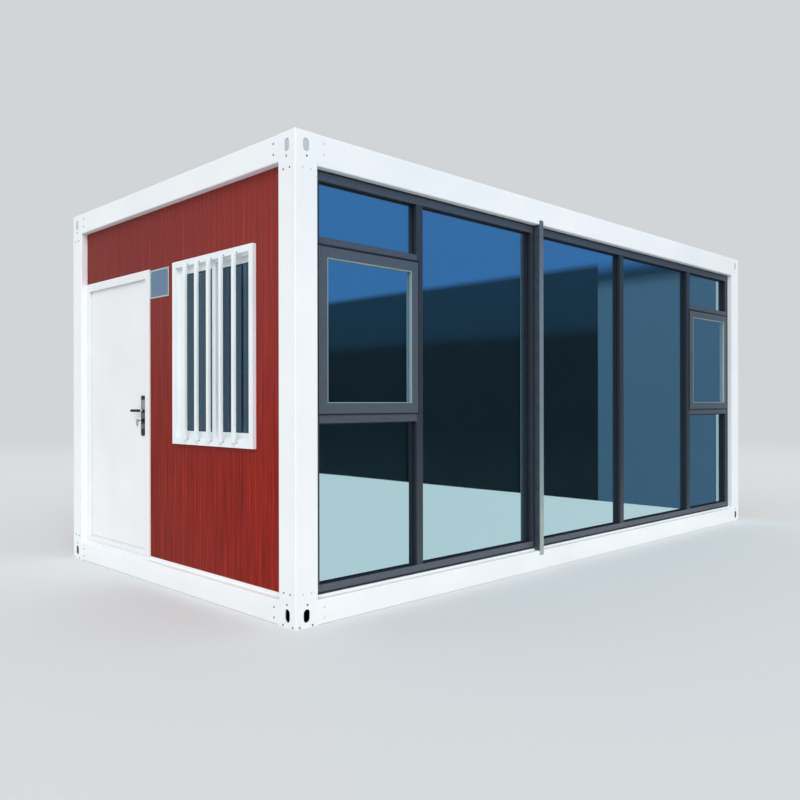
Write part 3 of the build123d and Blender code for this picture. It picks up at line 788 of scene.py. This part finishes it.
def glazing_gaskets():
    """Black rubber round the fixed panes and the window's panes, a black sheet on the fixed panes' reveals
    as painted shade, and vent beads painted pale as a reflection of the sky.
    """
    inset = Vector((pane_hold, 0, pane_hold))
    for index, (low, high) in enumerate(solid_boxes("fixed_glass")):
        outer_ring = (low.y - gasket_proud, low.y, gasket_width)
        inner_ring = (high.y, high.y + gasket_proud, gasket_width)
        # The third ring is a black sheet lining the reveal: painted shade
        shade_liner = (low.y - shade_liner_depth, low.y - gasket_proud, shade_liner_width)
        rings = [
            hollow_ring(
                "ring", Vector((low.x, start, low.z)) + inset, Vector((high.x, end, high.z)) - inset,
                1, width,
            )
            for start, end, width in (outer_ring, inner_ring, shade_liner)
        ]
        piece = joined(f"pane_gasket_{index + 1}", rings)
        dress(round_edges(piece, shade_liner_width / 4), rubber)
    for side, (low, high) in zip(("left", "right"), solid_boxes("vent_glass")):
        bead = hollow_ring(
            f"vent_bead_{side}", low + inset - Vector((0, bead_proud, 0)),
            Vector((high.x, low.y, high.z)) - inset, 1, bead_width,
        )
        dress(round_edges(bead, bead_width / 5), bead_sky_sheen)
    for index, (low, high) in enumerate(solid_boxes("window_glass")):
        inset = Vector((0, window_pane_hold, window_pane_hold))
        seal_and_shade_ring = hollow_ring(
            f"sash_gasket_{index + 1}", low + inset - Vector((gasket_proud / 2, 0, 0)),
            Vector((low.x, high.y, high.z)) - inset, 0, window_gasket_width,
        )
        dress(round_edges(seal_and_shade_ring, gasket_proud / 6), rubber)


def glazing_seals():
    """Black strips where the two glazed units meet the steel, partly seal and partly painted shade, and a
    black ring of painted shadow round the face of each vent, wider over its top.
    """
    front_low, front_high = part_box("glazing_sill_rail")[0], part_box("glazing_head_rail")[1]
    strip_low, strip_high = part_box("joint_cover_strip")
    for side, start, end in (("left", front_low.x, strip_low.x), ("right", strip_high.x, front_high.x)):
        seal_and_shade_ring = hollow_ring(
            f"unit_rim_seal_and_shade_{side}", (start, front_low.y - unit_rim_seal_and_shade_proud, front_low.z),
            (end, front_low.y, front_high.z), 1, unit_rim_seal_and_shade_width,
        )
        dress(round_edges(seal_and_shade_ring, unit_rim_seal_and_shade_proud / 3), rubber)
        low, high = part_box(f"vent_sash_{side}")
        wide = Vector((vent_shadow_ring_width, 0, vent_shadow_ring_width))
        seal_and_shade_ring = hollow_ring(
            f"vent_shadow_ring_{side}", Vector((low.x, front_low.y - vent_shadow_ring_proud, low.z)) - wide,
            Vector((high.x, front_low.y, high.z)) + wide, 1, vent_shadow_ring_width,
        )
        pick_faces(seal_and_shade_ring, lambda face: face.normal.z > squarely and face.center.z > high.z)
        bpy.ops.transform.translate(value=(0, 0, vent_shadow_ring_rise))
        clear_selection()
        dress(round_edges(seal_and_shade_ring, vent_shadow_ring_proud / 4), rubber)


def window_bars():
    """Upright square tubes across the window, each plugged and screwed at both ends."""
    low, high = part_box("window_frame")
    clear_width = high.y - low.y - 2 * window_face
    pitch = clear_width / (bar_count + 1)
    heights = (low.z + bar_end_margin, high.z - bar_end_margin)
    screws = []
    for index in range(bar_count):
        middle = low.y + window_face + (index + 1) * pitch
        bar = slab(
            f"window_bar_{index + 1}",
            (low.x - bar_width, middle - bar_width / 2, heights[0]),
            (low.x, middle + bar_width / 2, heights[1]),
        )
        pick_faces(bar, lambda face: abs(face.normal.z) > squarely)
        bpy.ops.mesh.inset(thickness=bar_plug_rim)
        bpy.ops.mesh.inset(thickness=bar_plug_edge, depth=-bar_plug_depth)
        clear_selection()
        dress(round_edges(bar, bar_round, 3), window_white)
        for height in (low.z + window_face - bar_screw_inset, high.z - window_face + bar_screw_inset):
            for beside in (-bar_screw_beside, bar_screw_beside):
                screws.append(((low.x, middle + beside, height), to_door_end))
    head = bolt_head("bar_screw", bar_screw_radius, bar_screw_radius / 2)
    dress(copies(head, "window_bar_screws", screws), bolt_zinc)


def wall_plate():
    """A bare plate in a pale rim, riveted to the wall beside the door frame."""
    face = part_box("left_wall_beside_door")[0].x
    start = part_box("door_lock_jamb")[0].y
    width, height = plate_size
    rim = hollow_ring(
        "wall_plate_rim", (face - plate_rim_thickness, start - width, plate_low),
        (face, start, plate_low + height), 0, plate_rim,
    )
    dress(round_edges(rim, plate_rim_thickness / 3), rim_metal)
    plate = slab(
        "bare_wall_plate", (face - plate_thickness, start - width + plate_rim, plate_low + plate_rim),
        (face, start - plate_rim, plate_low + height - plate_rim),
    )
    pick_faces(plate, looking(-1, 0, 0))
    bpy.ops.mesh.inset(thickness=plate_rim / 2, depth=plate_field_raise)
    clear_selection()
    dress(plate, plate_metal)
    places = [
        ((face - plate_thickness - plate_field_raise, start - across, plate_low + up), to_door_end)
        for across in (rivet_inset, width - rivet_inset)
        for up in (rivet_inset, height - rivet_inset)
    ]
    head = bolt_head("rivet", rivet_radius, rivet_proud)
    dress(copies(head, "wall_plate_rivets", places), rim_metal)


def frame_bolts():
    """Button heads of the frame's bolts; on the long sides those of beams and columns are painted over."""
    top, half_x, half_y = house_high.z, house_high.x, house_high.y
    across, low_pair, high_pair = beam_bolts
    frame_spots = [(across, z) for z in low_pair] + [(across, top - drop) for drop in high_pair]
    pair, low, drop = column_bolts
    frame_spots += [(across, z) for across in pair for z in (low, top - drop)]
    across, low, drop = block_bolt
    block_spots = [(across, low), (across, top - drop)]
    pair, low = foot_bolts
    block_spots += [(across, low) for across in pair]
    bare, painted = [], []
    for side in (-1, 1):
        for across, z in frame_spots + block_spots:
            bare.append(((-half_x, side * (half_y - across), z), to_door_end))
            bare.append(((half_x, side * (half_y - across), z), to_far_end))
        for spots, places in ((frame_spots, painted), (block_spots, bare)):
            for across, z in spots:
                places.append(((side * (half_x - across), -half_y, z), to_front))
                places.append(((side * (half_x - across), half_y, z), to_rear))
    head = bolt_head("frame_bolt", bolt_radius, bolt_proud, small_head_sides)
    dress(copies(head, "frame_bolts", bare), bolt_zinc)
    head = bolt_head("side_bolt", bolt_radius, bolt_proud, small_head_sides)
    dress(copies(head, "painted_side_bolts", painted), painted_bolt)


def slot_blanks():
    """Grey oblong blanks in the slots of the roof corner blocks: discs drawn out up and down."""
    width, height = blank_size
    middle_z = house_high.z - roof_slot_below_top
    half_side = math.pi / round_sides
    blank = rod(
        "blank", (0, -blank_thickness / 2, 0), width / 2, blank_thickness, (math.pi / 2, half_side, 0)
    )
    for way in (-1, 1):
        pick_faces(blank, lambda face: abs(face.normal.y) < squarely and face.center.z * way > width / 20)
        bpy.ops.transform.translate(value=(0, 0, way * (height - width) / 2))
    clear_selection()
    places = []
    for side_x in (-1, 1):
        for side_y in (-1, 1):
            along = side_x * (house_high.x - slot_from_corner)
            across = side_y * (house_high.y - slot_from_corner)
            deep_x = side_x * (house_high.x - blank_depth)
            deep_y = side_y * (house_high.y - blank_depth)
            places.append(((along, deep_y, middle_z), to_front if side_y < 0 else to_rear))
            places.append(((deep_x, across, middle_z), to_door_end if side_x < 0 else to_far_end))
    pieces = copies(round_edges(blank, blank_thickness / 3), "roof_slot_blanks", places)
    dress(pieces, blank_grey)


def roof_screws():
    """Washer-head screws through the rib tops into every purlin."""
    purlins = solid_boxes("roof_purlins")
    low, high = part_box("roof_sheet")
    count = round((high.y - low.y) / rib_pitch)
    rows = [(index + 0.5 - count / 2) * rib_pitch for index in range(count)]
    places = [
        (((start.x + end.x) / 2, row, high.z), to_sky) for start, end in purlins for row in rows
    ]
    head = rod(
        "roof_screw", (0, -roof_washer / 2, 0), roof_screw_radius, roof_washer, (math.pi / 2, 0, 0),
        small_head_sides,
    )
    pick_faces(head, looking(0, -1, 0))
    bpy.ops.mesh.inset(thickness=roof_washer_brim)
    bpy.ops.mesh.inset(thickness=roof_screw_edge, depth=roof_screw_proud - roof_washer)
    bpy.ops.mesh.inset(thickness=roof_screw_chamfer, depth=roof_screw_dome)
    clear_selection()
    dress(copies(head, "roof_screws", places), bolt_zinc)


def hanging_keys():
    """A key in the outer cylinder, with a spare one hung from its bow by a ring."""
    outer = solid_boxes("lock_plates")[0]
    lever_low, lever_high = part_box("lever_handle")
    front = outer[0].x
    axis_y = (outer[0].y + outer[1].y) / 2
    cylinder_z = (lever_low.z + lever_high.z) / 2 - cylinder_below_lever
    shank_end = front - key_shank

    blade = slab(
        "lock_key", (shank_end, axis_y - key_thickness / 2, cylinder_z - key_blade / 2),
        (front, axis_y + key_thickness / 2, cylinder_z + key_blade / 2),
    )
    bow = rod(
        "bow", (shank_end - key_bow_past_shank, axis_y, cylinder_z), key_bow_radius, key_thickness,
        (math.pi / 2, 0, 0),
    )
    pick_faces(bow, lambda face: abs(face.normal.y) > squarely)
    bpy.ops.mesh.inset(thickness=key_bow_rim)
    bpy.ops.mesh.bridge_edge_loops()
    clear_selection()
    key = joined("lock_key", [blade, bow])
    dress(round_edges(key, key_thickness / 5), key_nickel, "door")

    eye = Vector((shank_end - key_bow_radius, axis_y, cylinder_z - ring_below_key))
    clear_selection()
    bpy.ops.mesh.primitive_torus_add(
        major_radius=ring_radius, minor_radius=ring_wire,
        major_segments=ring_segments[0], minor_segments=ring_segments[1],
        location=eye - Vector((0, 0, ring_radius)), rotation=(0, math.pi / 2, ring_turn),
    )
    ring = settle("key_ring")
    pick_faces(ring, lambda face: face.center.z > eye.z - ring_radius)
    bpy.ops.transform.resize(value=(1, ring_stretch, 1))
    only(ring)
    bpy.ops.object.shade_smooth()
    dress(ring, key_nickel, "door")

    hang = eye - Vector((0, 0, 2 * ring_radius))
    spare_bow = rod(
        "spare_bow", hang - Vector((0, 0, spare_bow_drop)), spare_bow_radius, key_thickness,
        (math.pi / 2, 0, spare_turn),
    )
    pick_faces(spare_bow, lambda face: len(face.vertices) == round_sides)
    bpy.ops.mesh.inset(thickness=spare_bow_rim)
    bpy.ops.mesh.bridge_edge_loops()
    clear_selection()
    wide, tall = spare_blade
    blade = slab(
        "spare_blade", hang - Vector((key_thickness / 2, wide / 2, spare_blade_drop + tall)),
        hang + Vector((key_thickness / 2, wide / 2, -spare_blade_drop)),
    )
    spare = joined("spare_key", [spare_bow, blade])
    dress(round_edges(spare, key_thickness / 6), key_nickel, "door")


def lock_fittings():
    """Screws of the lock plates, the lock's case plate and latch bolt, and the strike plate for them."""
    outer, inner = solid_boxes("lock_plates")
    axis_y = (outer[0].y + outer[1].y) / 2
    heights = (outer[0].z + lock_screw_inset, outer[1].z - lock_screw_inset)
    screws = [((outer[0].x, axis_y, z), to_door_end) for z in heights]
    screws += [((inner[1].x - cylinder_proud, axis_y, z), to_far_end) for z in heights]
    head = bolt_head("plate_screw", lock_screw_radius, lock_screw_proud)
    dress(copies(head, "lock_plate_screws", screws), bolt_zinc, "door")

    leaf_low, leaf_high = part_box("door_leaf")
    lever_low, lever_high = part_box("lever_handle")
    middle_x = (leaf_low.x + leaf_high.x) / 2
    lever_z = (lever_low.z + lever_high.z) / 2
    wide, thin, tall = lock_case_size
    case_z = lever_z - lock_case_drop
    case_face = leaf_low.y - thin
    case = slab(
        "lock_case_plate", (middle_x - wide / 2, case_face, case_z - tall / 2),
        (middle_x + wide / 2, leaf_low.y, case_z + tall / 2),
    )
    dress(round_edges(case, thin / 3), key_nickel, "door")
    wide, out, tall = latch_size
    latch = slab(
        "latch_bolt", (middle_x - wide / 2, case_face - out, lever_z - tall / 2),
        (middle_x + wide / 2, case_face, lever_z + tall / 2),
    )
    pick_faces(latch, looking(0, -1, 0))
    bpy.ops.transform.resize(value=latch_taper_shares)
    clear_selection()
    dress(round_edges(latch, latch_round), key_nickel, "door")
    wide, thin, tall = strike_size
    face_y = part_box("door_lock_jamb")[1].y - stop_width
    strike = slab(
        "strike_plate", (middle_x - wide / 2, face_y, lever_z - tall / 2),
        (middle_x + wide / 2, face_y + thin, lever_z + tall / 2),
    )
    pick_faces(strike, looking(0, 1, 0))
    bpy.ops.mesh.inset(thickness=strike_rim)
    bpy.ops.mesh.inset(thickness=strike_edge, depth=-strike_sink)
    clear_selection()
    dress(round_edges(strike, thin / 4), key_nickel)


def door_seal():
    """Soft seals that the closed leaf almost meets: pale on the stops and the sill, grey under the head as
    painted shade.
    """
    hinge_jamb, lock_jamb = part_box("door_hinge_jamb"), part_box("door_lock_jamb")
    head, leaf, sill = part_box("door_head"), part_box("door_leaf"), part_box("door_sill")
    back = hinge_jamb[0].x + stop_depth
    spans = (lock_jamb[1].y - stop_width, hinge_jamb[0].y + stop_width)
    foot = leaf[0].z
    crown = head[1].z - jamb_face
    sill_run = (
        (leaf[0].x + sill_seal_inset, spans[0], sill[1].z),
        (leaf[0].x + sill_seal_inset + seal_width, spans[1], foot - seal_clear),
    )
    runs = [
        ("lock_side_seal", white_rubber, looking(1, 0, 0),
         (back, spans[0], foot), (back + seal_thickness, spans[0] + stop_width, crown)),
        ("hinge_side_seal", white_rubber, looking(1, 0, 0),
         (back, spans[1] - stop_width, foot), (back + seal_thickness, spans[1], crown)),
        ("sill_seal", white_rubber, looking(0, 0, 1), *sill_run),
        ("head_seal", head_shade_rubber, looking(1, 0, 0),
         (back, spans[0] + stop_width, crown - seal_width),
         (back + seal_thickness, spans[1] - stop_width, crown)),
    ]
    for name, finish, test, low, high in runs:
        strip = slab(name, low, high)
        pick_faces(strip, test)
        bpy.ops.mesh.inset(thickness=seal_lip, depth=-seal_groove)
        clear_selection()
        dress(round_edges(strip, seal_thickness / 5), finish)


glazing_gaskets()
glazing_seals()
window_bars()
wall_plate()
frame_bolts()
slot_blanks()
roof_screws()
hanging_keys()
lock_fittings()
door_seal()


def studio_floor():
    """A wide pale floor that fades into the background well away from the house."""
    clear_selection()
    bpy.ops.mesh.primitive_plane_add(size=floor_span)
    floor = settle("studio_floor")
    material, tree, shader, place = start_finish(
        "studio_floor_paper", {"Base Color": linear("#DADCDD"), "Roughness": 0.9}
    )
    reach = add(tree, "ShaderNodeVectorMath", {0: place}, operation="LENGTH")
    fade = add(
        tree, "ShaderNodeMapRange",
        {"Value": reach.outputs["Value"], "From Min": floor_fade[0], "From Max": floor_fade[1]},
        interpolation_type="SMOOTHSTEP",
    )
    clear = add(tree, "ShaderNodeBsdfTransparent")
    # Glass and gloss see the floor as plain white paper
    white = add(tree, "ShaderNodeEmission")
    ray = add(tree, "ShaderNodeLightPath").outputs["Is Glossy Ray"]
    paper = add(tree, "ShaderNodeMixShader", {0: ray, 1: shader.outputs[0], 2: white.outputs[0]})
    mix = add(
        tree, "ShaderNodeMixShader", {0: fade.outputs["Result"], 1: paper.outputs[0], 2: clear.outputs[0]}
    )
    tree.links.new(mix.outputs[0], tree.nodes["Material Output"].inputs["Surface"])
    floor.data.materials.append(material)


def reflection_card(name, spot, turn, width, stops):
    """A tall graduated card before the glazed front, which only shows in glass and gloss."""
    clear_selection()
    bpy.ops.mesh.primitive_plane_add(
        size=1, location=(*spot, card_height / 2), rotation=(-math.pi / 2, 0, turn)
    )
    bpy.context.object.scale = (width, card_height, 1)
    card = settle(name)
    material = bpy.data.materials.new(name)
    material.use_nodes = True
    tree = material.node_tree
    tree.nodes.remove(tree.nodes["Principled BSDF"])
    place = add(tree, "ShaderNodeTexCoord").outputs["Object"]
    height = add(tree, "ShaderNodeSeparateXYZ", {"Vector": place}).outputs["Z"]
    share = add(tree, "ShaderNodeMapRange", {"Value": height, "From Max": card_height})
    colour = set_ramp(add(tree, "ShaderNodeValToRGB", {"Fac": share.outputs["Result"]}), stops)
    glow = add(tree, "ShaderNodeEmission", {"Color": colour})
    tree.links.new(glow.outputs[0], tree.nodes["Material Output"].inputs["Surface"])
    card.data.materials.append(material)
    card.visible_camera = False
    card.visible_diffuse = False
    card.visible_shadow = False
    card.visible_transmission = False


def studio_light():
    """An even pale surround with one broad soft lamp from the front left."""
    world = bpy.data.worlds.new("studio")
    world.use_nodes = True
    surround = world.node_tree.nodes["Background"]
    surround.inputs["Color"].default_value = linear("#DCDFE1")
    surround.inputs["Strength"].default_value = surround_strength
    bpy.context.scene.world = world
    clear_selection()
    bpy.ops.object.light_add(type="SUN", location=lamp_place)
    lamp = bpy.context.object
    lamp.name = "soft_lamp"
    lamp.rotation_euler = Vector(lamp_from).to_track_quat("Z", "Y").to_euler()
    lamp.data.energy = lamp_strength
    lamp.data.angle = lamp_spread


def photograph_camera():
    """The camera where the photograph was taken from."""
    clear_selection()
    bpy.ops.object.camera_add(location=camera_place, rotation=camera_turn)
    camera = bpy.context.object
    camera.data.lens = camera_lens
    camera.data.shift_x, camera.data.shift_y = camera_shift
    bpy.context.scene.camera = camera


studio_floor()
# Tones of the cards, from the foot up
blue_stops = [(0.256, "#4F86C6"), (0.5, "#5288C8"), (1.0, "#86AEDB")]
dark_stops = [(0.0, "#161E26"), (0.178, "#18212A"), (0.19, "#22384C"), (0.252, "#263D53")] + blue_stops
pale_stops = [(0.0, "#54708A"), (0.2, "#5B7792"), (0.225, "#5B7792"), (0.24, "#22384C")] + blue_stops
reflection_card("far_reflection_card", (-20, -10), 0, 47, dark_stops)
reflection_card("side_reflection_card", (3.4, -6.65), math.pi / 2, 6.7, dark_stops)
reflection_card("near_reflection_card", (3.4, -2.5), math.pi / 2, 1.6, pale_stops)
studio_light()
photograph_camera()
bpy.context.scene.view_settings.view_transform = "Standard"
